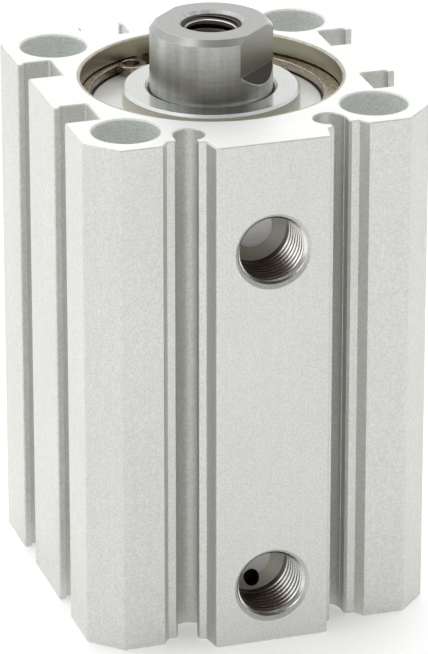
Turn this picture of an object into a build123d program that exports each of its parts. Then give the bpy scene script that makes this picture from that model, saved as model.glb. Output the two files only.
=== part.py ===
from build123d import *
from math import radians, tan
import os

# Compact pneumatic cylinder, 32 mm bore, 40 mm stroke, shown fully retracted.
# Millimetres. The rod runs up +Z, the ports face -Y, and the origin is the middle of the base.

os.makedirs("parts", exist_ok=True)

# ---- profile body ----
HEIGHT = 71.5
WIDTH = 47.5
CORNER_CHAMFER = 4.0
CORNER_EDGE_R = 0.4
END_EDGE_BREAK = 0.15
EDGE_BREAK = 0.2
LEAD_IN = 0.4
BOLT_PITCH = 34.0
BOLT_HOLE_R = 2.75
COUNTERBORE_R = 4.5
COUNTERBORE_DEPTH = 7.0
COUNTERBORE_BREAK = 0.2

# raised strip down the front face, drilled for the two ports
LAND_FACE_Y = -26.75
LAND_HALF = 7.8
LAND_FOOT_HALF = 8.3
LAND_FOOT_Y = -23.9
LAND_TOE_HALF = 8.75
LAND_EDGE_R = 0.35

# round sensor groove on each side of the strip
GROOVE_X = 9.55
GROOVE_Y = -20.5
GROOVE_R = 2.1
GROOVE_LIP_X = 9.2
GROOVE_LIP_Y = -23.6
GROOVE_WALL_X = 11.75
GROOVE_SHELF_Y = -22.4
GROOVE_SHELF_X = 13.15
GROOVE_TOP_X = 14.1
GROOVE_CORNER = 0.35

# sensor slots: a lip on the rear edge of those in the sides, and small lips on both edges behind
SLOT_CENTRE = 8.7
SLOT_WIDTH = 6.1
SLOT_DEPTH = 4.8
SLOT_LIP_H = 0.95
SIDE_LIP = 0.7
BACK_LIP = 0.3
SLOT_CORNER_R = 0.4
SLOT_MOUTH_R = 0.25

# ---- bore, from the base up ----
BORE_R = 16.0
SEAT_R = 17.0
PLATE_H = 4.2
ROLLED_LIP_H = 0.8
ROLLED_LIP_R = 16.3
COVER_SEAT_Z = 61.5
MOUTH_R = 17.5
MOUTH_BREAK = 0.15
RING_GROOVE_R = 18.35
RING_GROOVE_Z = 67.5
RING_GROOVE_H = 1.5

# ---- ports, G 1/8 ----
PORT_Z = (8.2, 56.3)
PASSAGE_OFFSET = (-2.9, 2.9)
PORT_DRILL_R = 4.4
PORT_MAJOR_R = 4.864
PORT_PITCH = 0.907
PORT_FLANK_DEG = 27.5
PORT_DEPTH = 9.2
PORT_THREAD_LENGTH = 7.6
PORT_BREAK_R = 5.25
PORT_FLOOR_R = 2.75
PORT_TIP_DEG = 118.0
PASSAGE_R = 1.1
PASSAGE_LENGTH = 3.0

# ---- rod, M8 in its end ----
ROD_R = 8.25
ROD_TOP_Z = 79.0
ROD_SHOULDER_Z = 16.5
ROD_BREAK = 0.82
FLATS_WIDTH = 14.0
FLATS_BOTTOM_Z = 73.5
FLATS_RUNOUT_SLOPE = 1.5
FLATS_TURN_DEG = -47.5
THREAD_DRILL_R = 3.4
THREAD_MAJOR_R = 4.0
THREAD_PITCH = 1.25
THREAD_FLANK_DEG = 30.0
THREAD_DEPTH = 13.0
THREAD_LENGTH = 11.0
COUNTERSINK_R = 4.5
SPIGOT_R = 5.5
SPIGOT_BOTTOM_Z = 12.0
SPIGOT_GROOVE_R = 4.7
SPIGOT_GROOVE_Z = 13.4
SPIGOT_GROOVE_H = 1.3
SCREW_HOLE_R = 3.0
SCREW_CLEARANCE_R = 3.3
SCREW_HOLE_TOP_Z = 27.0

# ---- piston ----
PISTON_R = 15.7
PISTON_TOP_Z = 16.5
PISTON_RIM_Z = 12.6
PISTON_SPLIT_Z = 10.6
PISTON_BOTTOM_Z = 6.5
PISTON_HUB_R = 12.0
SEAL_GROOVE_R = 12.6
SEAL_GROOVE_Z = 13.3
SEAL_GROOVE_H = 2.4
WEAR_GROOVE_R = 14.7
WEAR_GROOVE_Z = 7.4
WEAR_GROOVE_H = 2.3
WEAR_RING_CUT = 0.8
WEAR_RING_CUT_DEG = 40.0
HEAD_POCKET_R = 5.4
HEAD_SEAT_Z = 9.4
BUMPER_R = 12.8
BUMPER_HOLE_R = 8.85
BUMPER_H = 2.3
BUMPER_EDGE_R = 0.4
FOOT_INNER_R = 9.5
FOOT_OUTER_R = 11.5
FOOT_H = 1.2
AIR_NOTCH = 1.6
AIR_NOTCH_DEPTH = 0.8
AIR_NOTCH_COUNT = 4

# ---- rod cover ----
SKIRT_R = 15.0
SKIRT_BOTTOM_Z = 58.8
FLANGE_TOP_Z = 67.5
BOSS_R = 11.9
BOSS_TOP_Z = 70.0
BOSS_BREAK = 0.35
BUSHING_R = 9.5
BUSHING_Z = 59.1
BUSHING_H = 6.0
ROD_SEAL_R = 10.5
ROD_SEAL_Z = 65.9
ROD_SEAL_H = 3.1
COVER_HOLE_R = 8.55
COVER_HOLE_BREAK = 0.35

# ---- static O-rings ----
O_RING_BOTTOM_R = 15.6
O_RING_GROOVE_H = 1.9
O_RING_H = 1.6
O_RING_CORNER_R = 0.6
PLATE_O_RING_Z = 1.5
COVER_O_RING_Z = 63.5
ROD_O_RING_H = 1.0
ROD_O_RING_CORNER_R = 0.35

# ---- retaining ring ----
RING_R = 18.3
RING_H = 1.3
RING_EDGE_R = 0.2
RING_HOLE_R = 15.6
RING_HOLE_SHIFT = 1.1
RING_TURN_DEG = 105.0
RING_GAP = 1.3
LUG_X = 2.75
LUG_Y = 15.85
LUG_R = 2.15
LUG_HOLE_R = 1.15

# material left on a face while its hole is threaded, then faced off
STOCK_H = 2.0
STOCK_R = 7.0
CUT_MARGIN = 0.5

# ---- clearances ----
SEAT_FIT = 0.01
RUNNING_FIT = 0.03
RING_FIT = 0.05


def thread_cutter(drill_r, major_r, pitch, flank_deg, length):
    """A helical V for threading a drilled hole whose finished mouth is at Z = 0."""
    root_half = 0.02
    overlap = 0.12
    mouth_half = root_half + (major_r - drill_r + overlap) * tan(radians(flank_deg))
    root_x = major_r - drill_r
    helix_h = length + STOCK_H - 0.6 * pitch
    with BuildPart() as cutter:
        with BuildLine() as path:
            Helix(pitch=pitch, height=helix_h, radius=drill_r, center=(0, 0, -length))
        start = Plane(origin=path.line @ 0, x_dir=(1, 0, 0), z_dir=path.line % 0)
        with BuildSketch(start):
            with BuildLine():
                Polyline(
                    (-overlap, -mouth_half),
                    (root_x, -root_half),
                    (root_x, root_half),
                    (-overlap, mouth_half),
                    close=True,
                )
            make_face()
        sweep(path=path.line, is_frenet=True)
    return cutter.part


def squeezed_o_ring(inner_r, outer_r, bottom_z, height, corner_r):
    """An O-ring flattened between the two walls that it seals."""
    with BuildPart() as ring:
        with BuildSketch(Plane.XZ):
            with Locations(((inner_r + outer_r) / 2, bottom_z + height / 2)):
                RectangleRounded(outer_r - inner_r, height, corner_r)
        revolve(axis=Axis.Z)
    return ring.part


def bumper(face_z, foot_direction):
    """A rubber bumper held by a foot in the piston, with notches that let air under it."""
    outer_z = face_z - foot_direction * BUMPER_H
    foot_z = face_z + foot_direction * (FOOT_H - RING_FIT)
    with BuildPart() as pad:
        with BuildSketch(Plane.XZ):
            with BuildLine():
                Polyline(
                    (BUMPER_HOLE_R, outer_z),
                    (BUMPER_R, outer_z),
                    (BUMPER_R, face_z),
                    (FOOT_OUTER_R - RING_FIT, face_z),
                    (FOOT_OUTER_R - RING_FIT, foot_z),
                    (FOOT_INNER_R + RING_FIT, foot_z),
                    (FOOT_INNER_R + RING_FIT, face_z),
                    (BUMPER_HOLE_R, face_z),
                    close=True,
                )
            make_face()
        revolve(axis=Axis.Z)
        outer_face = pad.faces().filter_by(Plane.XY).sort_by(lambda f: abs(f.center().Z - outer_z))[0]
        fillet(outer_face.edges(), BUMPER_EDGE_R)
        with Locations((0, 0, outer_z)):
            with PolarLocations((BUMPER_R + BUMPER_HOLE_R) / 2, AIR_NOTCH_COUNT):
                Box(BUMPER_R, AIR_NOTCH, 2 * AIR_NOTCH_DEPTH, mode=Mode.SUBTRACT)
    return pad.part


port_tip_h = (PORT_DRILL_R - PORT_FLOOR_R) / tan(radians(PORT_TIP_DEG / 2))
port_planes = [Plane(origin=(0, LAND_FACE_Y, z), x_dir=(1, 0, 0), z_dir=(0, -1, 0)) for z in PORT_Z]
port_thread = thread_cutter(PORT_DRILL_R, PORT_MAJOR_R, PORT_PITCH, PORT_FLANK_DEG, PORT_THREAD_LENGTH)
rod_thread = thread_cutter(THREAD_DRILL_R, THREAD_MAJOR_R, THREAD_PITCH, THREAD_FLANK_DEG, THREAD_LENGTH)

# Extruded body: square outline, six T-slots, port strip, round grooves, bore and four bolt holes.
with BuildPart() as cylinder_body:
    half = WIDTH / 2
    with BuildSketch(Plane.XY) as outline:
        Rectangle(WIDTH, WIDTH)
        chamfer(outline.vertices(), CORNER_CHAMFER)
        fillet(outline.vertices(), CORNER_EDGE_R)
        inner_x = half - (SLOT_DEPTH + SLOT_LIP_H) / 2
        for turn, lip_before, lip_after in ((0, 0, SIDE_LIP), (90, BACK_LIP, BACK_LIP), (180, SIDE_LIP, 0)):
            mouth = SLOT_WIDTH - lip_before - lip_after
            mouth_shift = (lip_before - lip_after) / 2
            for centre in (-SLOT_CENTRE, SLOT_CENTRE):
                with Locations(Rot(0, 0, turn) * Pos(half - SLOT_DEPTH / 2, centre + mouth_shift)):
                    Rectangle(SLOT_DEPTH, mouth, mode=Mode.SUBTRACT)
                with Locations(Rot(0, 0, turn) * Pos(inner_x, centre)):
                    RectangleRounded(SLOT_DEPTH - SLOT_LIP_H, SLOT_WIDTH, SLOT_CORNER_R, mode=Mode.SUBTRACT)
        lips = outline.vertices().filter_by(
            lambda v: max(abs(v.X), v.Y) > half - 0.01 and min(abs(v.X), abs(v.Y)) < half - CORNER_CHAMFER - 1
        )
        fillet(lips, SLOT_MOUTH_R)
        for side in (-1, 1):
            with BuildLine():
                Polyline(
                    (side * LAND_TOE_HALF, -half),
                    (side * GROOVE_LIP_X, GROOVE_LIP_Y),
                    (side * GROOVE_LIP_X, GROOVE_Y),
                    (side * GROOVE_WALL_X, GROOVE_Y),
                    (side * GROOVE_WALL_X, GROOVE_SHELF_Y + GROOVE_CORNER),
                    (side * (GROOVE_WALL_X + GROOVE_CORNER), GROOVE_SHELF_Y),
                    (side * GROOVE_SHELF_X, GROOVE_SHELF_Y),
                    (side * GROOVE_TOP_X, -half),
                    (side * GROOVE_TOP_X, -half - 1),
                    (side * LAND_TOE_HALF, -half - 1),
                    close=True,
                )
            make_face(mode=Mode.SUBTRACT)
            with Locations((side * GROOVE_X, GROOVE_Y)):
                Circle(GROOVE_R, mode=Mode.SUBTRACT)
        with BuildLine():
            Polyline(
                (-LAND_TOE_HALF, -half),
                (-LAND_FOOT_HALF, LAND_FOOT_Y),
                (-LAND_HALF, LAND_FACE_Y),
                (LAND_HALF, LAND_FACE_Y),
                (LAND_FOOT_HALF, LAND_FOOT_Y),
                (LAND_TOE_HALF, -half),
                close=True,
            )
        make_face()
        land_corners = outline.vertices().filter_by(lambda v: v.Y < LAND_FACE_Y + 0.01)
        fillet(land_corners, LAND_EDGE_R)
    extrude(amount=HEIGHT)
    end_faces = cylinder_body.faces().filter_by(Plane.XY)
    chamfer(end_faces.edges(), END_EDGE_BREAK)
    with BuildSketch(Plane.XZ):
        with BuildLine():
            Polyline(
                (0, 0),
                (ROLLED_LIP_R, 0),
                (SEAT_R, ROLLED_LIP_H),
                (SEAT_R, PLATE_H),
                (BORE_R, PLATE_H),
                (BORE_R, COVER_SEAT_Z),
                (SEAT_R, COVER_SEAT_Z),
                (SEAT_R, RING_GROOVE_Z),
                (RING_GROOVE_R, RING_GROOVE_Z),
                (RING_GROOVE_R, RING_GROOVE_Z + RING_GROOVE_H),
                (MOUTH_R, RING_GROOVE_Z + RING_GROOVE_H),
                (MOUTH_R, HEIGHT - MOUTH_BREAK),
                (MOUTH_R + MOUTH_BREAK, HEIGHT),
                (0, HEIGHT),
                close=True,
            )
        make_face()
    revolve(axis=Axis.Z, mode=Mode.SUBTRACT)
    with Locations(Plane.XY.offset(HEIGHT)):
        with GridLocations(BOLT_PITCH, BOLT_PITCH, 2, 2):
            CounterBoreHole(BOLT_HOLE_R, COUNTERBORE_R, COUNTERBORE_DEPTH)
    with Locations(-Plane.XY):
        with GridLocations(BOLT_PITCH, BOLT_PITCH, 2, 2):
            CounterBoreHole(BOLT_HOLE_R, COUNTERBORE_R, COUNTERBORE_DEPTH)
    bolt_rims = (
        cylinder_body.edges()
        .filter_by(GeomType.CIRCLE)
        .filter_by(lambda e: abs(e.radius - COUNTERBORE_R) < 0.01)
        .filter_by(lambda e: min(abs(e.center().Z), abs(e.center().Z - HEIGHT)) < 0.01)
    )
    chamfer(bolt_rims, COUNTERBORE_BREAK)
    with BuildSketch(*port_planes):
        Circle(STOCK_R)
    extrude(amount=STOCK_H)
    with Locations([plane.offset(STOCK_H) for plane in port_planes]):
        Hole(PORT_DRILL_R, PORT_DEPTH - port_tip_h + STOCK_H)
    with BuildSketch(*[plane.offset(-PORT_DEPTH) for plane in port_planes]):
        Circle(PORT_FLOOR_R)
    extrude(amount=port_tip_h, taper=-PORT_TIP_DEG / 2, mode=Mode.SUBTRACT)
    for plane, offset in zip(port_planes, PASSAGE_OFFSET):
        with Locations(plane.offset(-PORT_DEPTH)):
            with Locations((0, offset)):
                Hole(PASSAGE_R, PASSAGE_LENGTH)
    with Locations(port_planes):
        add(port_thread, mode=Mode.SUBTRACT)
    with BuildSketch(*port_planes):
        Circle(STOCK_R + CUT_MARGIN)
    extrude(amount=STOCK_H + CUT_MARGIN, mode=Mode.SUBTRACT)
    with BuildSketch(*[plane.offset(PORT_DRILL_R - PORT_BREAK_R) for plane in port_planes]):
        Circle(PORT_DRILL_R)
    extrude(amount=PORT_BREAK_R - PORT_DRILL_R, taper=-45, mode=Mode.SUBTRACT)

# Plate that closes the base, held by the rolled lip of the body.
with BuildPart() as head_plate:
    plate_r = SEAT_R - SEAT_FIT
    with BuildSketch(Plane.XZ):
        with BuildLine():
            Polyline(
                (0, 0),
                (ROLLED_LIP_R - SEAT_FIT, 0),
                (plate_r, ROLLED_LIP_H),
                (plate_r, PLATE_O_RING_Z),
                (O_RING_BOTTOM_R, PLATE_O_RING_Z),
                (O_RING_BOTTOM_R, PLATE_O_RING_Z + O_RING_GROOVE_H),
                (plate_r, PLATE_O_RING_Z + O_RING_GROOVE_H),
                (plate_r, PLATE_H),
                (0, PLATE_H),
                close=True,
            )
        make_face()
    revolve(axis=Axis.Z)

plate_o_ring_z = PLATE_O_RING_Z + (O_RING_GROOVE_H - O_RING_H) / 2
head_plate_o_ring = squeezed_o_ring(O_RING_BOTTOM_R, SEAT_R, plate_o_ring_z, O_RING_H, O_RING_CORNER_R)

# Rod cover: skirt into the bore, flange in the seat, boss around the rod.
with BuildPart() as rod_cover:
    flange_r = SEAT_R - SEAT_FIT
    with BuildSketch(Plane.XZ):
        with BuildLine():
            Polyline(
                (BUSHING_R, SKIRT_BOTTOM_Z),
                (SKIRT_R, SKIRT_BOTTOM_Z),
                (SKIRT_R, COVER_SEAT_Z),
                (flange_r, COVER_SEAT_Z),
                (flange_r, COVER_O_RING_Z),
                (O_RING_BOTTOM_R, COVER_O_RING_Z),
                (O_RING_BOTTOM_R, COVER_O_RING_Z + O_RING_GROOVE_H),
                (flange_r, COVER_O_RING_Z + O_RING_GROOVE_H),
                (flange_r, FLANGE_TOP_Z),
                (BOSS_R, FLANGE_TOP_Z),
                (BOSS_R, BOSS_TOP_Z - BOSS_BREAK),
                (BOSS_R - BOSS_BREAK, BOSS_TOP_Z),
                (COVER_HOLE_R + COVER_HOLE_BREAK, BOSS_TOP_Z),
                (COVER_HOLE_R, BOSS_TOP_Z - COVER_HOLE_BREAK),
                (COVER_HOLE_R, ROD_SEAL_Z + ROD_SEAL_H),
                (ROD_SEAL_R, ROD_SEAL_Z + ROD_SEAL_H),
                (ROD_SEAL_R, ROD_SEAL_Z),
                (COVER_HOLE_R, ROD_SEAL_Z),
                (COVER_HOLE_R, BUSHING_Z + BUSHING_H),
                (BUSHING_R, BUSHING_Z + BUSHING_H),
                close=True,
            )
        make_face()
    revolve(axis=Axis.Z)

cover_o_ring_z = COVER_O_RING_Z + (O_RING_GROOVE_H - O_RING_H) / 2
rod_cover_o_ring = squeezed_o_ring(O_RING_BOTTOM_R, SEAT_R, cover_o_ring_z, O_RING_H, O_RING_CORNER_R)

# Plain bearing pressed into the cover from below.
with BuildPart() as rod_bushing:
    with BuildSketch(Plane.XY.offset(BUSHING_Z)):
        Circle(BUSHING_R - SEAT_FIT)
        Circle(ROD_R + RUNNING_FIT, mode=Mode.SUBTRACT)
    extrude(amount=BUSHING_H)
    chamfer(rod_bushing.edges().group_by(Axis.Z)[0], LEAD_IN)

# Rod seal with a pressure lip below and a wiping lip above.
with BuildPart() as rod_seal:
    lip_r = ROD_R + RUNNING_FIT
    back_r = ROD_SEAL_R - SEAT_FIT
    bottom_z = ROD_SEAL_Z + RING_FIT
    top_z = ROD_SEAL_Z + ROD_SEAL_H - RING_FIT
    with BuildSketch(Plane.XZ):
        with BuildLine():
            Polyline(
                (back_r, bottom_z),
                (back_r - 0.6, bottom_z),
                (back_r - 0.8, bottom_z + 1.0),
                (back_r - 1.2, bottom_z + 1.0),
                (lip_r + 0.7, bottom_z),
                (lip_r + 0.1, bottom_z),
                (lip_r, bottom_z + 0.15),
                (lip_r, bottom_z + 0.4),
                (lip_r + 0.3, bottom_z + 1.2),
                (lip_r + 0.3, top_z - 0.8),
                (lip_r, top_z - 0.25),
                (lip_r, top_z - 0.1),
                (lip_r + 0.4, top_z),
                (back_r, top_z),
                close=True,
            )
        make_face()
    revolve(axis=Axis.Z)

# Internal retaining ring: narrow by its open ends, wide opposite, with a plier hole in each lug.
with BuildPart() as cover_retaining_ring:
    with BuildSketch(Plane.XY.offset(RING_GROOVE_Z)) as ring_face:
        Circle(RING_R)
        with Locations((0, RING_HOLE_SHIFT)):
            Circle(RING_HOLE_R, mode=Mode.SUBTRACT)
        for side in (-1, 1):
            with Locations((side * LUG_X, LUG_Y)):
                Circle(LUG_R)
        with Locations((0, (LUG_Y + RING_R) / 2)):
            Rectangle(2 * (LUG_X + LUG_R), RING_R - LUG_Y)
        with BuildSketch(mode=Mode.INTERSECT):
            Circle(RING_R)
        for side in (-1, 1):
            with Locations((side * LUG_X, LUG_Y)):
                Circle(LUG_HOLE_R, mode=Mode.SUBTRACT)
        with Locations((0, RING_R)):
            Rectangle(RING_GAP, RING_R, mode=Mode.SUBTRACT)
    extrude(amount=RING_H)
    fillet(cover_retaining_ring.faces().filter_by(Plane.XY).edges(), RING_EDGE_R)
ring_turn = Rot(0, 0, RING_TURN_DEG - 90)
cover_retaining_ring_part = ring_turn * cover_retaining_ring.part

# Piston rod: threaded end with wrench flats, shoulder and spigot for the piston.
with BuildPart() as piston_rod:
    rod_end = Plane.XY.offset(ROD_TOP_Z)
    with BuildSketch(Plane.XY.offset(ROD_SHOULDER_Z)):
        Circle(ROD_R)
    extrude(amount=ROD_TOP_Z + STOCK_H - ROD_SHOULDER_Z)
    with Locations(rod_end.offset(STOCK_H)):
        Hole(THREAD_DRILL_R, THREAD_DEPTH + STOCK_H)
    with Locations(rod_end):
        add(rod_thread, mode=Mode.SUBTRACT)
    with BuildSketch(rod_end):
        Circle(ROD_R + CUT_MARGIN)
    extrude(amount=STOCK_H + CUT_MARGIN, mode=Mode.SUBTRACT)
    end_edges = piston_rod.edges().filter_by(GeomType.CIRCLE).group_by(Axis.Z)[-1]
    chamfer(end_edges.sort_by(SortBy.RADIUS)[-1], ROD_BREAK)
    with BuildSketch(rod_end.offset(THREAD_DRILL_R - COUNTERSINK_R)):
        Circle(THREAD_DRILL_R)
    extrude(amount=COUNTERSINK_R - THREAD_DRILL_R, taper=-45, mode=Mode.SUBTRACT)
    with BuildSketch(Plane.XY.offset(SPIGOT_BOTTOM_Z)):
        Circle(SPIGOT_R - SEAT_FIT)
    extrude(amount=ROD_SHOULDER_Z - SPIGOT_BOTTOM_Z)
    chamfer(piston_rod.edges().group_by(Axis.Z)[0], LEAD_IN)
    with BuildSketch(Plane.XY.offset(SPIGOT_GROOVE_Z)):
        Circle(SPIGOT_R)
        Circle(SPIGOT_GROOVE_R, mode=Mode.SUBTRACT)
    extrude(amount=SPIGOT_GROOVE_H, mode=Mode.SUBTRACT)
    with BuildSketch(Plane.XY.offset(SPIGOT_BOTTOM_Z)):
        Circle(SCREW_HOLE_R)
    extrude(amount=SCREW_HOLE_TOP_Z - SPIGOT_BOTTOM_Z, mode=Mode.SUBTRACT)
    flats_turn = Rot(0, 0, FLATS_TURN_DEG)
    flats_half = FLATS_WIDTH / 2
    past_rod_r = ROD_R + 1
    runout_z = FLATS_BOTTOM_Z - FLATS_RUNOUT_SLOPE * (past_rod_r - flats_half)
    with BuildSketch(Plane(flats_turn * Plane.XZ.location)):
        for side in (-1, 1):
            with BuildLine():
                Polyline(
                    (side * flats_half, ROD_TOP_Z + 1),
                    (side * flats_half, FLATS_BOTTOM_Z),
                    (side * past_rod_r, runout_z),
                    (side * past_rod_r, ROD_TOP_Z + 1),
                    close=True,
                )
            make_face()
    extrude(amount=ROD_R, both=True, mode=Mode.SUBTRACT)

rod_o_ring_z = SPIGOT_GROOVE_Z + (SPIGOT_GROOVE_H - ROD_O_RING_H) / 2
rod_o_ring = squeezed_o_ring(SPIGOT_GROOVE_R, SPIGOT_R, rod_o_ring_z, ROD_O_RING_H, ROD_O_RING_CORNER_R)

# Upper half of the piston, with the seal groove and the hub that carries the magnet.
with BuildPart() as piston:
    with BuildSketch(Plane.XZ):
        with BuildLine():
            Polyline(
                (SCREW_CLEARANCE_R, PISTON_SPLIT_Z),
                (PISTON_HUB_R, PISTON_SPLIT_Z),
                (PISTON_HUB_R, PISTON_RIM_Z),
                (PISTON_R, PISTON_RIM_Z),
                (PISTON_R, SEAL_GROOVE_Z),
                (SEAL_GROOVE_R, SEAL_GROOVE_Z),
                (SEAL_GROOVE_R, SEAL_GROOVE_Z + SEAL_GROOVE_H),
                (PISTON_R, SEAL_GROOVE_Z + SEAL_GROOVE_H),
                (PISTON_R, PISTON_TOP_Z - EDGE_BREAK),
                (PISTON_R - EDGE_BREAK, PISTON_TOP_Z),
                (FOOT_OUTER_R, PISTON_TOP_Z),
                (FOOT_OUTER_R, PISTON_TOP_Z - FOOT_H),
                (FOOT_INNER_R, PISTON_TOP_Z - FOOT_H),
                (FOOT_INNER_R, PISTON_TOP_Z),
                (SPIGOT_R, PISTON_TOP_Z),
                (SPIGOT_R, SPIGOT_BOTTOM_Z),
                (SCREW_CLEARANCE_R, SPIGOT_BOTTOM_Z),
                close=True,
            )
        make_face()
    revolve(axis=Axis.Z)

# Lower half of the piston, with the wear ring groove and the pocket for the screw head.
with BuildPart() as magnet_holder:
    with BuildSketch(Plane.XZ):
        with BuildLine():
            Polyline(
                (SCREW_CLEARANCE_R, PISTON_SPLIT_Z),
                (SCREW_CLEARANCE_R, HEAD_SEAT_Z),
                (HEAD_POCKET_R, HEAD_SEAT_Z),
                (HEAD_POCKET_R, PISTON_BOTTOM_Z),
                (FOOT_INNER_R, PISTON_BOTTOM_Z),
                (FOOT_INNER_R, PISTON_BOTTOM_Z + FOOT_H),
                (FOOT_OUTER_R, PISTON_BOTTOM_Z + FOOT_H),
                (FOOT_OUTER_R, PISTON_BOTTOM_Z),
                (PISTON_R - EDGE_BREAK, PISTON_BOTTOM_Z),
                (PISTON_R, PISTON_BOTTOM_Z + EDGE_BREAK),
                (PISTON_R, WEAR_GROOVE_Z),
                (WEAR_GROOVE_R, WEAR_GROOVE_Z),
                (WEAR_GROOVE_R, WEAR_GROOVE_Z + WEAR_GROOVE_H),
                (PISTON_R, WEAR_GROOVE_Z + WEAR_GROOVE_H),
                (PISTON_R, PISTON_SPLIT_Z),
                close=True,
            )
        make_face()
    revolve(axis=Axis.Z)

# Magnet clamped between the two halves.
with BuildPart() as magnet_ring:
    with BuildSketch(Plane.XY.offset(PISTON_SPLIT_Z)):
        Circle(PISTON_R - LEAD_IN)
        Circle(PISTON_HUB_R + RING_FIT, mode=Mode.SUBTRACT)
    extrude(amount=PISTON_RIM_Z - PISTON_SPLIT_Z)
    chamfer(magnet_ring.edges().filter_by(GeomType.CIRCLE).sort_by(SortBy.RADIUS)[-2:], EDGE_BREAK)

# Two-lipped piston seal, free to turn in its groove.
with BuildPart() as piston_seal:
    lip_r = BORE_R - RUNNING_FIT
    bottom_z = SEAL_GROOVE_Z + RING_FIT
    top_z = SEAL_GROOVE_Z + SEAL_GROOVE_H - RING_FIT
    middle_z = (bottom_z + top_z) / 2
    with BuildSketch(Plane.XZ):
        with BuildLine():
            Polyline(
                (SEAL_GROOVE_R + RING_FIT, bottom_z),
                (lip_r - 0.6, bottom_z),
                (lip_r, bottom_z + 0.3),
                (lip_r, bottom_z + 0.7),
                (lip_r - 0.5, middle_z),
                (lip_r, top_z - 0.7),
                (lip_r, top_z - 0.3),
                (lip_r - 0.6, top_z),
                (SEAL_GROOVE_R + RING_FIT, top_z),
                close=True,
            )
        make_face()
    revolve(axis=Axis.Z)

# Wear ring, cut through at an angle so that it springs into its groove.
with BuildPart() as piston_wear_ring:
    with BuildSketch(Plane.XY.offset(WEAR_GROOVE_Z + RING_FIT)):
        Circle(BORE_R - RUNNING_FIT)
        Circle(WEAR_GROOVE_R + RING_FIT, mode=Mode.SUBTRACT)
    extrude(amount=WEAR_GROOVE_H - 2 * RING_FIT)
    with Locations((0, BORE_R, WEAR_GROOVE_Z + WEAR_GROOVE_H / 2)):
        cut = WEAR_GROOVE_H * 2
        Box(WEAR_RING_CUT, cut, cut, rotation=(0, WEAR_RING_CUT_DEG, 0), mode=Mode.SUBTRACT)

rod_side_bumper = bumper(PISTON_TOP_Z, -1)
head_side_bumper = bumper(PISTON_BOTTOM_Z, 1)

# Socket-head screw that clamps the piston to the rod.
with BuildPart() as piston_screw:
    head_r = 5.0
    head_h = 4.0
    socket_flats = 5.0
    socket_depth = 2.4
    shank_r = SCREW_HOLE_R - SEAT_FIT
    shank_length = 15.6
    with BuildSketch(Plane.XY.offset(HEAD_SEAT_Z - head_h)):
        Circle(head_r)
    extrude(amount=head_h)
    fillet(piston_screw.edges().group_by(Axis.Z)[0], LEAD_IN)
    with BuildSketch(Plane.XY.offset(HEAD_SEAT_Z)):
        Circle(shank_r)
    extrude(amount=shank_length)
    chamfer(piston_screw.edges().group_by(Axis.Z)[-1], LEAD_IN)
    with BuildSketch(Plane.XY.offset(HEAD_SEAT_Z - head_h)):
        RegularPolygon(socket_flats / 2, 6, major_radius=False)
    extrude(amount=socket_depth, mode=Mode.SUBTRACT)

pieces = {
    "cylinder_body": cylinder_body.part,
    "head_plate": head_plate.part,
    "head_plate_o_ring": head_plate_o_ring,
    "rod_cover": rod_cover.part,
    "rod_cover_o_ring": rod_cover_o_ring,
    "rod_bushing": rod_bushing.part,
    "rod_seal": rod_seal.part,
    "cover_retaining_ring": cover_retaining_ring_part,
    "piston_rod": piston_rod.part,
    "rod_o_ring": rod_o_ring,
    "piston": piston.part,
    "magnet_holder": magnet_holder.part,
    "magnet_ring": magnet_ring.part,
    "piston_seal": piston_seal.part,
    "piston_wear_ring": piston_wear_ring.part,
    "rod_side_bumper": rod_side_bumper,
    "head_side_bumper": head_side_bumper,
    "piston_screw": piston_screw.part,
}
for name, shape in pieces.items():
    shape.label = name
    export_step(shape, "parts/" + name + ".step")
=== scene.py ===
from math import cos, radians, sin

import bmesh
import bpy
from mathutils import Matrix, Vector


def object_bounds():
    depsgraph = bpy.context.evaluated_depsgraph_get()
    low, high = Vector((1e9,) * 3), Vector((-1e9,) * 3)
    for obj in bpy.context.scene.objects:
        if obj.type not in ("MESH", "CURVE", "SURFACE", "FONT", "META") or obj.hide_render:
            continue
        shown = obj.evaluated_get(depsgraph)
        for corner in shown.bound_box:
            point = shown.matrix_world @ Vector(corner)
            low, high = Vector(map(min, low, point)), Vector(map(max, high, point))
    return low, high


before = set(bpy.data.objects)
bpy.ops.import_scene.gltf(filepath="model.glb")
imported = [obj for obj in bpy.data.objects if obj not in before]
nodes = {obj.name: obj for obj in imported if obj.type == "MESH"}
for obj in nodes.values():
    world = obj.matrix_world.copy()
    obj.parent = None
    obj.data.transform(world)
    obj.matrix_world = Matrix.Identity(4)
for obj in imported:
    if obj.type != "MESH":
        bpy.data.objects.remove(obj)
cad_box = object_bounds()

MM = 0.001

# Sizes that the finishes follow, in millimetres.
HEIGHT = 71.5
BOLT_HALF_PITCH = 17.0
COUNTERBORE_R = 4.5
MOUTH_R = 17.5
LAND_HALF = 7.8
GROOVE_WALL_X = 11.75
GROOVE_Y = -20.5
PORT_HEIGHTS = (8.2, 56.3)
PORT_FACE_Y = -26.75
PORT_BREAK_R = 5.25
PORT_FLOOR_R = 2.75
ROD_R = 8.25
ROD_TOP = 79.0
ROD_BREAK = 0.82
THREAD_MAJOR_R = 4.0
THREAD_DRILL_R = 3.4
FLATS_TURN = -47.5
FLATS_BOTTOM = 73.5
FLATS_HALF = 7.0
RUNOUT_REACH = 2.5
BOSS_TOP = 70.0
RING_HOLE_R = 15.6
RING_HOLE_SHIFT = 1.1
RING_TURN = 105.0


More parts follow.
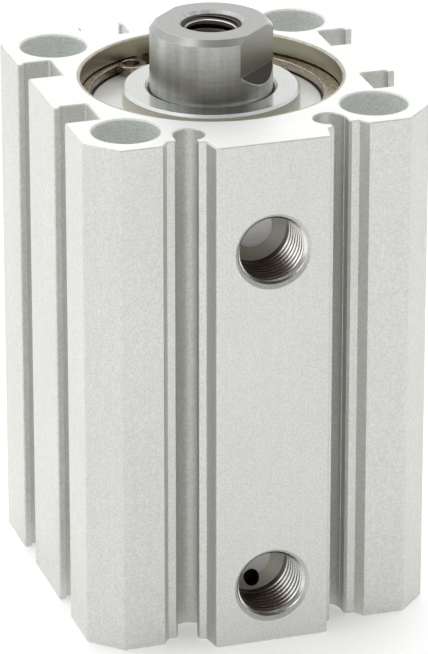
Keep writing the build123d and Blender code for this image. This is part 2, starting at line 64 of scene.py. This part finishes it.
# ---------------------------------------------------------------- node helpers
class Shader:
    """One node material. Positions in it are object coordinates in millimetres."""

    def __init__(self, name, metallic=1.0):
        self.material = bpy.data.materials.new(name)
        self.material.use_nodes = True
        self.tree = self.material.node_tree
        self.surface = self.tree.nodes["Principled BSDF"]
        self.surface.inputs["Metallic"].default_value = metallic
        place = self.add("ShaderNodeTexCoord")
        self.at = self.vector("SCALE", place.outputs["Object"], scale=1 / MM)
        self.x, self.y, self.z = self.split(self.at)
        self.nx, self.ny, self.nz = self.split(place.outputs["Normal"])
        self.radius = self.length2(self.x, self.y)
        self.level = self.math("ABSOLUTE", self.nz)
        self.flat = self.step(self.level, 0.8, 0.95)

    def add(self, kind, **settings):
        node = self.tree.nodes.new(kind)
        for key, value in settings.items():
            setattr(node, key, value)
        return node

    def feed(self, socket, value):
        if isinstance(value, bpy.types.NodeSocket):
            self.tree.links.new(value, socket)
        elif value is not None:
            socket.default_value = value

    def math(self, operation, *values, clamp=False):
        node = self.add("ShaderNodeMath", operation=operation, use_clamp=clamp)
        for socket, value in zip(node.inputs, values):
            self.feed(socket, value)
        return node.outputs[0]

    def vector(self, operation, *values, scale=None):
        node = self.add("ShaderNodeVectorMath", operation=operation)
        for socket, value in zip(node.inputs, values):
            self.feed(socket, value)
        if scale is not None:
            node.inputs["Scale"].default_value = scale
        single = operation in ("DOT_PRODUCT", "LENGTH", "DISTANCE")
        return node.outputs["Value" if single else "Vector"]

    def split(self, vector):
        node = self.add("ShaderNodeSeparateXYZ")
        self.feed(node.inputs[0], vector)
        return node.outputs

    def join(self, x=0.0, y=0.0, z=0.0):
        node = self.add("ShaderNodeCombineXYZ")
        for socket, value in zip(node.inputs, (x, y, z)):
            self.feed(socket, value)
        return node.outputs[0]

    def length2(self, a, b):
        return self.vector("LENGTH", self.join(a, b))

    def step(self, value, low, high):
        """0 below low, 1 above high and smooth between. With low above high it runs the other way."""
        node = self.add("ShaderNodeMapRange", interpolation_type="SMOOTHSTEP")
        turned = low > high
        ends = (high, low, 1.0, 0.0) if turned else (low, high, 0.0, 1.0)
        self.feed(node.inputs["Value"], value)
        for name, end in zip(("From Min", "From Max", "To Min", "To Max"), ends):
            node.inputs[name].default_value = end
        return node.outputs[0]

    def below(self, value, limit, soft=0.1):
        """0 from limit up, and 1 under limit - soft."""
        return self.step(value, limit, limit - soft)

    def above(self, value, limit, soft=0.1):
        """1 from limit up, and 0 under limit - soft."""
        return self.step(value, limit - soft, limit)

    def band(self, value, low, high, soft=0.03):
        """1 between low and high, 0 outside."""
        return self.all(
            self.step(value, low - soft, low + soft), self.step(value, high + soft, high - soft)
        )

    def all(self, *masks):
        """The masks multiplied: 1 only where every one of them is 1."""
        shared = masks[0]
        for mask in masks[1:]:
            shared = self.math("MULTIPLY", shared, mask)
        return shared

    def any(self, *masks):
        """The largest of the masks."""
        largest = masks[0]
        for mask in masks[1:]:
            largest = self.math("MAXIMUM", largest, mask)
        return largest

    def without(self, mask):
        """1 where the mask is 0, and 0 where it is 1."""
        return self.math("SUBTRACT", 1.0, mask)

    def crisp(self, noise):
        """A noise value with its middle range spread out to 0 and 1."""
        return self.step(noise, 0.3, 0.7)

    def rings(self, distance, pitch, seed, detail=2.0):
        """Concentric tool marks that follow a distance, pitch of them to a millimetre."""
        return self.noise(at=self.join(self.math("MULTIPLY", distance, pitch), 0.0, seed), detail=detail)

    def noise(self, stretch=(1, 1, 1), at=None, detail=2.0, rough=0.5, offset=0.0):
        """A noise value from 0 to 1, whose features are 1 / stretch millimetres apart."""
        scaled = self.vector("MULTIPLY", at or self.at, stretch)
        moved = self.vector("ADD", scaled, (offset, offset * 0.7, -offset))
        node = self.add("ShaderNodeTexNoise", noise_dimensions="3D")
        self.feed(node.inputs["Vector"], moved)
        node.inputs["Scale"].default_value = 1.0
        node.inputs["Detail"].default_value = detail
        node.inputs["Roughness"].default_value = rough
        return node.outputs[0]

    def mix(self, factor, first, second):
        node = self.add("ShaderNodeMix", data_type="RGBA")
        self.feed(node.inputs[0], factor)
        for socket, value in zip((node.inputs[6], node.inputs[7]), (first, second)):
            self.feed(socket, rgba(value) if isinstance(value, tuple) else value)
        return node.outputs[2]

    def blend(self, factor, first, second):
        """A number that goes from first to second as factor goes from 0 to 1."""
        node = self.add("ShaderNodeMix", data_type="FLOAT")
        for socket, value in zip(node.inputs[:1] + node.inputs[2:4], (factor, first, second)):
            self.feed(socket, value)
        return node.outputs[0]

    def tint(self, colour, value, low, high):
        """The colour made low times as bright where value is 0, and high times where it is 1."""
        shade = self.blend(value, low, high)
        return self.vector("MULTIPLY", colour, self.join(shade, shade, shade))

    def edges(self, radius, gain=9.0):
        """1 on sharp edges and 0 on flats, over a radius in millimetres."""
        round_normal = self.add("ShaderNodeBevel", samples=6)
        round_normal.inputs["Radius"].default_value = radius * MM
        true = self.add("ShaderNodeNewGeometry").outputs["True Normal"]
        same = self.vector("DOT_PRODUCT", round_normal.outputs[0], true)
        off = self.math("SUBTRACT", 1.0, same)
        return self.math("MULTIPLY", off, gain, clamp=True)

    def hollows(self, reach, gain=1.0):
        """0 on open faces, rising towards 1 in grooves and corners narrower than reach millimetres."""
        node = self.add("ShaderNodeAmbientOcclusion", samples=8, only_local=True)
        node.inputs["Distance"].default_value = reach * MM
        closed = self.math("SUBTRACT", 1.0, node.outputs["AO"])
        return self.math("MULTIPLY", closed, gain, clamp=True)

    def finish(self, colour, roughness, height, bump=0.3, depth=0.02, metallic=None):
        """Connects the colour, roughness and height maps. depth is the bump's height in mm."""
        self.feed(self.surface.inputs["Base Color"], colour)
        self.feed(self.surface.inputs["Roughness"], roughness)
        self.feed(self.surface.inputs["Metallic"], metallic)
        node = self.add("ShaderNodeBump")
        node.inputs["Strength"].default_value = bump
        node.inputs["Distance"].default_value = depth * MM
        self.feed(node.inputs["Height"], height)
        self.feed(self.surface.inputs["Normal"], node.outputs[0])
        return self.material


def rgba(colour):
    return (*colour, 1.0)


# ---------------------------------------------------------------- cylinder body
def blasted_colour(s, grain, clump):
    """Blasted and anodised faces: fine speckle, soft patches, faint drawing streaks, painted light in
    the hollows and painted shade on the side faces by the land.
    """
    cloud = s.noise((0.09, 0.09, 0.05), detail=2.0, offset=21.0)
    streak = s.noise((2.2, 2.2, 0.012), detail=2.0, offset=4.0)
    colour = s.tint((0.70, 0.71, 0.68), s.crisp(grain), 0.90, 1.09)
    colour = s.tint(colour, clump, 0.94, 1.06)
    colour = s.tint(colour, cloud, 0.95, 1.05)
    colour = s.tint(colour, streak, 0.97, 1.03)
    # Painted light: colour up to 12% lighter in grooves and corners.
    colour = s.tint(colour, s.hollows(5.0, 1.2), 1.0, 1.12)
    # Painted shade: side faces by the land in the front recess darkened to 0.73.
    sideways = s.step(s.math("ABSOLUTE", s.nx), 0.6, 0.9)
    by_land = s.band(s.math("ABSOLUTE", s.x), LAND_HALF - 0.2, GROOVE_WALL_X + 0.85)
    in_front = s.below(s.y, GROOVE_Y + 1.0, 1.0)
    return s.tint(colour, s.all(sideways, by_land, in_front), 1.0, 0.73)


def port_colour(s, from_axis, depth, port_end):
    """Bare metal in a port: wall darker further in, a painted dark reflection on its lower left and a
    turned floor.
    """
    wall = s.mix(s.step(depth, 1.0, 8.0), (0.78, 0.775, 0.76), (0.64, 0.62, 0.58))
    wall = s.tint(wall, s.noise((3, 1, 3), detail=3.0), 0.85, 1.12)
    # Painted reflection: lower-left walls deeper in the port painted dark brown for the dark room
    # reflected there.
    low_left = s.math("ADD", s.nz, s.math("MULTIPLY", s.nx, 0.55))
    painted_dark_reflection = s.all(s.step(low_left, -0.1, 0.6), s.step(depth, 0.8, 2.2))
    wall = s.mix(s.math("MULTIPLY", painted_dark_reflection, 0.9), wall, (0.085, 0.05, 0.033))
    past_floor = s.step(from_axis, PORT_FLOOR_R - 0.05, PORT_FLOOR_R + 0.05)
    floor = s.mix(past_floor, (0.94, 0.94, 0.93), (0.58, 0.56, 0.50))
    floor = s.tint(floor, s.crisp(s.rings(from_axis, 5.0, 7.0)), 0.85, 1.06)
    return s.mix(port_end, wall, floor)


def body_material():
    """Clear anodised extrusion: blasted outside, turned holes, bare bore tinted olive-brown as a painted
    reflection, and ports.
    """
    s = Shader("body_anodised")
    from_bolt = s.length2(
        s.math("SUBTRACT", s.math("ABSOLUTE", s.x), BOLT_HALF_PITCH),
        s.math("SUBTRACT", s.math("ABSOLUTE", s.y), BOLT_HALF_PITCH),
    )
    from_port = s.math("MINIMUM", *[
        s.length2(s.x, s.math("SUBTRACT", s.z, height)) for height in PORT_HEIGHTS
    ])
    depth = s.math("SUBTRACT", s.y, PORT_FACE_Y)
    in_hole = s.below(from_bolt, COUNTERBORE_R + 0.3, 0.18)
    in_bore = s.below(s.radius, MOUTH_R + 0.5)
    in_port = s.all(
        s.below(from_port, PORT_BREAK_R + 0.07, 0.06), s.below(depth, 11.25, 0.5), s.above(depth, 0.52)
    )
    port_end = s.all(s.step(s.ny, -0.3, -0.6), s.step(depth, 7.0, 7.6))
    in_port_end = s.all(in_port, port_end)
    ends = s.math("ADD", s.above(s.z, HEIGHT - 0.1, 0.2), s.below(s.z, 0.3, 0.2))
    cut_end = s.all(s.flat, ends)

    grain = s.noise((3.4, 3.4, 3.4), detail=3.0, rough=0.62)
    clump = s.noise((1.1, 1.1, 0.8), detail=2.0, offset=9.0)
    turned = s.noise((0.25, 0.25, 10.0), detail=3.0, offset=2.0)
    scratch = s.noise((0.15, 2.6, 0.2), detail=3.0, offset=13.0)

    end_face = s.tint((0.86, 0.865, 0.855), scratch, 0.93, 1.06)
    end_face = s.tint(end_face, grain, 0.94, 1.06)
    hole_wall = s.tint((0.93, 0.96, 0.93), s.crisp(turned), 0.9, 1.05)
    hole_wall = s.tint(hole_wall, s.crisp(grain), 0.86, 1.08)
    colour = s.mix(cut_end, blasted_colour(s, grain, clump), end_face)
    colour = s.mix(in_hole, colour, hole_wall)
    # Painted reflection: the bare bore is tinted olive-brown for the dark ring and inside reflected in
    # it.
    colour = s.mix(in_bore, colour, s.tint((0.42, 0.405, 0.32), turned, 0.75, 1.22))
    colour = s.mix(in_port, colour, port_colour(s, from_port, depth, port_end))
    # Bright edges in patches: partly wear and partly painted highlight.
    patches = s.step(s.noise((0.7, 0.7, 0.7), offset=31.0), 0.42, 0.6)
    edge_wear_and_highlight = s.all(s.edges(0.22), patches, s.without(in_port))
    colour = s.mix(s.math("MULTIPLY", edge_wear_and_highlight, 0.55), colour, (0.93, 0.93, 0.92))

    roughness = s.blend(grain, 0.44, 0.56)
    for mask, value in (
        (cut_end, 0.42),
        (in_hole, 0.36),
        (in_bore, 0.30),
        (in_port, 0.24),
        (in_port_end, 0.42),
    ):
        roughness = s.blend(mask, roughness, value)
    metallic = s.blend(in_hole, 0.6, 0.15)
    metallic = s.blend(s.any(in_bore, in_port), metallic, 1.0)
    metallic = s.blend(in_port_end, metallic, 0.2)
    bumps = s.math("ADD", grain, s.math("MULTIPLY", clump, 0.4))
    height = s.blend(s.any(in_hole, in_bore, in_port), bumps, turned)
    height = s.blend(cut_end, height, scratch)
    return s.finish(colour, roughness, height, bump=0.35, depth=0.03, metallic=metallic)


# ---------------------------------------------------------------- piston rod
def turned_end_colour(s, fine):
    """The turned end of the rod: fine rings, speckle, smears and painted highlight streaks along it."""
    grain = s.noise((3.0, 3.0, 3.0), detail=3.0, rough=0.6, offset=18.0)
    broad = s.noise((0.35, 0.35, 2.2), detail=2.0, offset=6.0)
    smear = s.noise((0.5, 0.5, 0.25), detail=3.0, offset=12.0)
    # Painted reflection: lighter and darker lengthwise streaks for light bands reflected in the rod.
    painted_light_streaks = s.noise((0.8, 0.8, 0.03), detail=2.0, offset=27.0)
    colour = s.tint((0.51, 0.52, 0.50), s.crisp(fine), 0.92, 1.07)
    colour = s.tint(colour, grain, 0.82, 1.18)
    colour = s.tint(colour, broad, 0.90, 1.10)
    colour = s.tint(colour, smear, 0.86, 1.14)
    return s.tint(colour, s.crisp(painted_light_streaks), 0.88, 1.16)


def rod_material():
    """Turned steel end with milled flats, and a ground and plated shaft below it."""
    s = Shader("rod_steel")
    turn = Matrix.Rotation(radians(FLATS_TURN), 3, "Z")
    across = s.vector("DOT_PRODUCT", s.at, tuple(turn @ Vector((1, 0, 0))))
    along = s.vector("DOT_PRODUCT", s.at, tuple(turn @ Vector((0, 1, 0))))
    on_flat = s.all(
        s.band(s.math("ABSOLUTE", across), FLATS_HALF - 0.05, FLATS_HALF + 0.05, 0.02),
        s.above(s.z, FLATS_BOTTOM),
    )
    runout = s.all(
        s.band(s.radius, FLATS_HALF - 0.2, ROD_R - 0.06, 0.04),
        s.band(s.z, FLATS_BOTTOM - RUNOUT_REACH, FLATS_BOTTOM),
    )
    bare = s.above(s.z, BOSS_TOP - 0.1, 0.3)
    top = s.all(s.flat, s.above(s.z, ROD_TOP - 0.3, 0.2))
    break_edge = s.all(
        s.above(s.radius, ROD_R - 0.8, 0.15),
        s.band(s.z, ROD_TOP - ROD_BREAK - 0.03, ROD_TOP - 0.02),
        s.without(on_flat),
    )

    fine = s.noise((0.2, 0.2, 11.0), detail=3.0, rough=0.6)
    rings = s.rings(s.radius, 6.0, 1.0, detail=3.0)
    slope = s.math("ADD", along, s.math("MULTIPLY", s.z, -2.3))
    mill = s.noise(at=s.join(s.math("MULTIPLY", slope, 3.2), across, 0.0), detail=3.0)

    plated = s.tint((0.60, 0.61, 0.62), fine, 0.93, 1.06)
    # Painted shade and highlight: thread roots painted near black and crests bright.
    crest = s.below(s.radius, THREAD_DRILL_R + 0.22, 0.17)
    thread = s.mix(crest, (0.05, 0.043, 0.038), (0.62, 0.60, 0.58))
    colour = s.mix(bare, plated, turned_end_colour(s, fine))
    colour = s.mix(top, colour, s.tint((0.38, 0.385, 0.375), s.crisp(rings), 0.88, 1.1))
    colour = s.mix(on_flat, colour, s.tint((0.29, 0.285, 0.255), s.crisp(mill), 0.78, 1.2))
    # Painted shade: the run-out shoulder below the flats is painted near black.
    colour = s.mix(runout, colour, s.tint((0.05, 0.047, 0.039), mill, 0.7, 1.3))
    colour = s.mix(s.below(s.radius, THREAD_MAJOR_R + 0.12), colour, thread)
    colour = s.mix(s.math("MULTIPLY", break_edge, 0.85), colour, (0.37, 0.365, 0.35))
    # Bright edges on the rod end: partly wear and partly painted highlight.
    edge_wear_and_highlight = s.all(s.edges(0.16), bare)
    colour = s.mix(s.math("MULTIPLY", edge_wear_and_highlight, 0.3), colour, (0.92, 0.92, 0.91))

    flat_end = s.all(s.flat, bare)
    roughness = s.blend(bare, 0.14, s.blend(fine, 0.34, 0.46))
    roughness = s.blend(flat_end, roughness, 0.3)
    roughness = s.blend(on_flat, roughness, 0.36)
    roughness = s.blend(break_edge, roughness, 0.22)
    height = s.blend(bare, s.math("MULTIPLY", fine, 0.1), fine)
    height = s.blend(flat_end, height, rings)
    height = s.blend(on_flat, height, mill)
    return s.finish(colour, roughness, height, bump=0.25, depth=0.012)


# ---------------------------------------------------------------- smaller pieces
def turned_lines(s, pitch):
    """Tool marks round the Z axis: rings on flat faces and lines on round walls."""
    return s.blend(s.flat, s.noise((0.25, 0.25, pitch)), s.rings(s.radius, pitch, 3.0))


def cover_material():
    """Turned aluminium: satin flange, a painted reflection of the rod darkening the boss top, a painted
    pale reflection on the boss wall, painted edge highlights and a painted shadow line by the ring.
    """
    s = Shader("cover_aluminium")
    turned = turned_lines(s, 7.0)
    smear = s.noise((0.4, 0.4, 0.4), detail=2.0, offset=5.0)
    boss_top = s.all(s.flat, s.above(s.z, BOSS_TOP - 0.1, 0.3))
    wall = s.below(s.level, 0.3, 0.15)
    ring_hole_at = Matrix.Rotation(radians(RING_TURN), 3, "Z") @ Vector((RING_HOLE_SHIFT, 0, 0))
    from_ring = s.vector("DISTANCE", s.join(s.x, s.y), tuple(ring_hole_at))
    painted_ring_shadow = s.all(s.above(from_ring, RING_HOLE_R - 0.2, 0.25), s.flat)

    colour = s.tint((0.78, 0.805, 0.785), turned, 0.86, 1.12)
    # Painted reflection: boss top painted darker for the rod reflected in it.
    colour = s.mix(boss_top, colour, s.tint((0.60, 0.61, 0.585), s.crisp(turned), 0.88, 1.1))
    # Painted reflection: boss wall painted pale beige for the bore wall reflected in it.
    colour = s.mix(wall, colour, s.tint((0.96, 0.94, 0.83), turned, 0.86, 1.12))
    colour = s.tint(colour, smear, 0.94, 1.06)
    # Painted highlight: edges of the cover painted near white.
    colour = s.mix(s.math("MULTIPLY", s.edges(0.15), 0.7), colour, (0.95, 0.95, 0.94))
    # Painted shadow: the flange under and beyond the ring's inner edge painted near black.
    colour = s.mix(painted_ring_shadow, colour, (0.05, 0.045, 0.04))
    roughness = s.blend(turned, 0.24, 0.36)
    roughness = s.blend(boss_top, roughness, 0.16)
    metallic = s.blend(wall, s.blend(boss_top, 0.65, 0.95), 0.0)
    return s.finish(colour, roughness, turned, bump=0.25, depth=0.01, metallic=metallic)


def turned_metal(name, colour, low, high, pitch=6.0, edge_wear_and_highlight=(0.9, 0.9, 0.88), stain=0.08):
    """A lathe-turned metal part with tool marks, faint staining and bright edges, partly wear and partly
    painted highlight.
    """
    s = Shader(name)
    turned = turned_lines(s, pitch)
    smear = s.noise((0.35, 0.35, 0.5), detail=3.0, offset=8.0)
    shade = s.tint(colour, turned, 0.84, 1.14)
    shade = s.tint(shade, smear, 1 - stain, 1 + stain)
    # Bright edges: partly wear and partly painted highlight.
    shade = s.mix(s.math("MULTIPLY", s.edges(0.15), 0.6), shade, edge_wear_and_highlight)
    return s.finish(shade, s.blend(turned, low, high), turned, bump=0.3, depth=0.012)


def ring_material():
    """Oiled spring steel: dark bronze scale, bright edges that are partly rubbed and partly painted
    highlight, and fine pits.
    """
    s = Shader("ring_steel")
    scale = s.noise((1.8, 1.8, 4.0), detail=4.0, rough=0.6)
    pits = s.noise((6, 6, 6), detail=2.0, offset=3.0)
    shade = s.mix(s.step(scale, 0.35, 0.68), (0.27, 0.225, 0.18), (0.46, 0.39, 0.315))
    shade = s.tint(shade, pits, 0.85, 1.15)
    # Bright edges in patches: partly rubbing and partly painted highlight.
    rubbed_and_highlit = s.math("MULTIPLY", s.edges(0.14, 7.0), s.step(scale, 0.3, 0.5))
    shade = s.mix(s.math("MULTIPLY", rubbed_and_highlit, 0.8), shade, (0.78, 0.74, 0.68))
    return s.finish(shade, s.blend(scale, 0.2, 0.36), pits, bump=0.25, depth=0.015)


def soft_material(name, colour, roughness, grain=4.0, spread=0.2, sheen=0.0):
    """Rubber or plastic with a fine moulded grain, a dull bloom and paler edges, partly rubbing and
    partly painted highlight.
    """
    s = Shader(name, metallic=0.0)
    s.surface.inputs["Sheen Weight"].default_value = sheen
    fine = s.noise((grain, grain, grain), detail=3.0, rough=0.6)
    bloom = s.noise((0.5, 0.5, 0.7), detail=3.0, offset=7.0)
    shade = s.tint(colour, fine, 1 - spread, 1 + spread)
    shade = s.tint(shade, bloom, 1 - spread, 1 + spread)
    # Paler edges: partly rubbing and partly painted highlight.
    pale = tuple(min(1.0, c * 1.8 + 0.03) for c in colour)
    shade = s.mix(s.math("MULTIPLY", s.edges(0.12), 0.5), shade, pale)
    rough = s.blend(bloom, roughness - 0.08, roughness + 0.08)
    return s.finish(shade, rough, fine, bump=0.3, depth=0.01)


def woven_plastic(name, colour):
    """Filled bearing plastic, with short pale fibres running round it."""
    s = Shader(name, metallic=0.0)
    fibres = s.noise((2.0, 2.0, 9.0), detail=3.0, rough=0.7)
    bloom = s.noise((0.6, 0.6, 0.6), detail=2.0, offset=15.0)
    shade = s.mix(s.step(fibres, 0.48, 0.62), colour, tuple(c * 1.5 for c in colour))
    shade = s.tint(shade, bloom, 0.88, 1.12)
    return s.finish(shade, s.blend(fibres, 0.45, 0.62), fibres, bump=0.3, depth=0.012)


steel = turned_metal("screw_steel", (0.42, 0.42, 0.43), 0.22, 0.36, 9.0)
piston_metal = turned_metal("piston_aluminium", (0.76, 0.77, 0.77), 0.2, 0.34, 5.0)
rubber = soft_material("seal_rubber", (0.022, 0.022, 0.024), 0.5, sheen=0.15)
bumper_rubber = soft_material("bumper_rubber", (0.045, 0.045, 0.048), 0.58, 3.0)
finishes = {
    "cylinder_body": body_material(),
    "head_plate": turned_metal("plate_aluminium", (0.74, 0.75, 0.74), 0.28, 0.4, 4.0),
    "head_plate_o_ring": rubber,
    "rod_cover": cover_material(),
    "rod_cover_o_ring": rubber,
    "rod_bushing": turned_metal(
        "bushing_bronze", (0.62, 0.42, 0.22), 0.28, 0.42, 5.0, (0.85, 0.68, 0.42), 0.14
    ),
    "rod_seal": rubber,
    "cover_retaining_ring": ring_material(),
    "piston_rod": rod_material(),
    "rod_o_ring": rubber,
    "piston": piston_metal,
    "magnet_holder": piston_metal,
    "magnet_ring": soft_material("magnet_black", (0.06, 0.055, 0.055), 0.42, 8.0, 0.3),
    "piston_seal": rubber,
    "piston_wear_ring": woven_plastic("wear_ring_plastic", (0.16, 0.13, 0.10)),
    "rod_side_bumper": bumper_rubber,
    "head_side_bumper": bumper_rubber,
    "piston_screw": steel,
}
for name, material in finishes.items():
    mesh = nodes[name].data
    mesh.materials.clear()
    mesh.materials.append(material)


# ---------------------------------------------------------------- stage
FLOOR_HALF = 4.0
FLOOR_GAP = 0.02
CENTRE = (0.0, 0.0, 0.04)


def plain(name, colour, roughness, glow=0.0):
    material = bpy.data.materials.new(name)
    material.use_nodes = True
    surface = material.node_tree.nodes["Principled BSDF"]
    surface.inputs["Base Color"].default_value = rgba(colour)
    surface.inputs["Roughness"].default_value = roughness
    surface.inputs["Emission Color"].default_value = rgba(colour)
    surface.inputs["Emission Strength"].default_value = glow
    return material


def make_floor():
    """A pale square just under the object."""
    mesh = bpy.data.meshes.new("floor")
    shape = bmesh.new()
    corners = [(-1, -1), (1, -1), (1, 1), (-1, 1)]
    shape.faces.new([shape.verts.new((x * FLOOR_HALF, y * FLOOR_HALF, 0)) for x, y in corners])
    shape.to_mesh(mesh)
    shape.free()
    mesh.materials.append(plain("floor_pale", (0.92, 0.92, 0.915), 0.6, 0.36))
    floor = bpy.data.objects.new("floor", mesh)
    floor.location.z = cad_box[0].z - FLOOR_GAP * MM
    bpy.context.collection.objects.link(floor)
    return floor


def facing(place, target):
    """The rotation that points a light or a camera at place towards target, upright."""
    return (Vector(target) - Vector(place)).to_track_quat("-Z", "Y").to_euler()


def area_light(name, place, size, power, colour=(1, 1, 1)):
    """A soft rectangular light at place, in metres, aimed at the middle of the object."""
    data = bpy.data.lights.new(name, "AREA")
    data.shape = "RECTANGLE"
    data.size, data.size_y = size
    data.energy = power
    data.color = colour
    light = bpy.data.objects.new(name, data)
    light.location = place
    light.rotation_euler = facing(place, CENTRE)
    bpy.context.collection.objects.link(light)


def studio():
    """A room brighter behind the object than in front, and dark brown high up in front of it."""
    world = bpy.data.worlds.new("studio")
    bpy.context.scene.world = world
    world.use_nodes = True
    tree = world.node_tree
    aim = tree.nodes.new("ShaderNodeTexCoord").outputs["Generated"]
    axes = tree.nodes.new("ShaderNodeSeparateXYZ")
    tree.links.new(aim, axes.inputs[0])

    def slope(socket, low, high, first, last):
        node = tree.nodes.new("ShaderNodeMapRange")
        node.interpolation_type = "SMOOTHSTEP"
        ends = (("From Min", low), ("From Max", high), ("To Min", first), ("To Max", last))
        for name, value in ends:
            node.inputs[name].default_value = value
        tree.links.new(socket, node.inputs["Value"])
        return node.outputs[0]

    def both(operation, first, second):
        node = tree.nodes.new("ShaderNodeMath")
        node.operation = operation
        tree.links.new(first, node.inputs[0])
        tree.links.new(second, node.inputs[1])
        return node.outputs[0]

    back = slope(axes.outputs[1], -1.0, 1.0, 0.45, 1.3)
    dark = both(
        "MULTIPLY",
        slope(axes.outputs[1], -0.75, -0.25, 1.0, 0.0),
        slope(axes.outputs[2], 0.04, 0.25, 0.0, 1.0),
    )
    room = tree.nodes.new("ShaderNodeMix")
    room.data_type = "RGBA"
    tree.links.new(dark, room.inputs[0])
    tree.links.new(back, room.inputs[6])
    room.inputs[7].default_value = (0.06, 0.04, 0.03, 1.0)
    background = tree.nodes["Background"]
    tree.links.new(room.outputs[2], background.inputs["Color"])
    background.inputs["Strength"].default_value = 0.87


floor = make_floor()
area_light("overhead", (0.0, 0.25, 0.9), (1.2, 0.9), 3.8)
area_light("front_fill", (-0.2, -0.8, 0.02), (0.9, 0.4), 1.75, (1.0, 0.995, 0.98))
studio()

# ---------------------------------------------------------------- camera
# Seen from the front, a little to the left and from above, through a long lens.
# The target and distance are in millimetres, and the turn and rise in degrees.
CAMERA_TARGET = (0.390, 0.0, 34.782)
CAMERA_DISTANCE = 675.221
CAMERA_TURN = 17.7434
CAMERA_RISE = 23.1233
CAMERA_LENS = 272.9

camera_data = bpy.data.cameras.new("camera")
camera_data.lens = CAMERA_LENS
camera_data.sensor_width = 36.0
camera_data.clip_start = 0.01
camera = bpy.data.objects.new("camera", camera_data)
bpy.context.collection.objects.link(camera)
turn = radians(CAMERA_TURN)
rise = radians(CAMERA_RISE)
away = Vector((-sin(turn) * cos(rise), -cos(turn) * cos(rise), sin(rise)))
camera.location = (Vector(CAMERA_TARGET) + away * CAMERA_DISTANCE) * MM
camera.rotation_euler = facing(camera.location, Vector(CAMERA_TARGET) * MM)
bpy.context.scene.camera = camera
bpy.context.scene.view_settings.view_transform = "Standard"
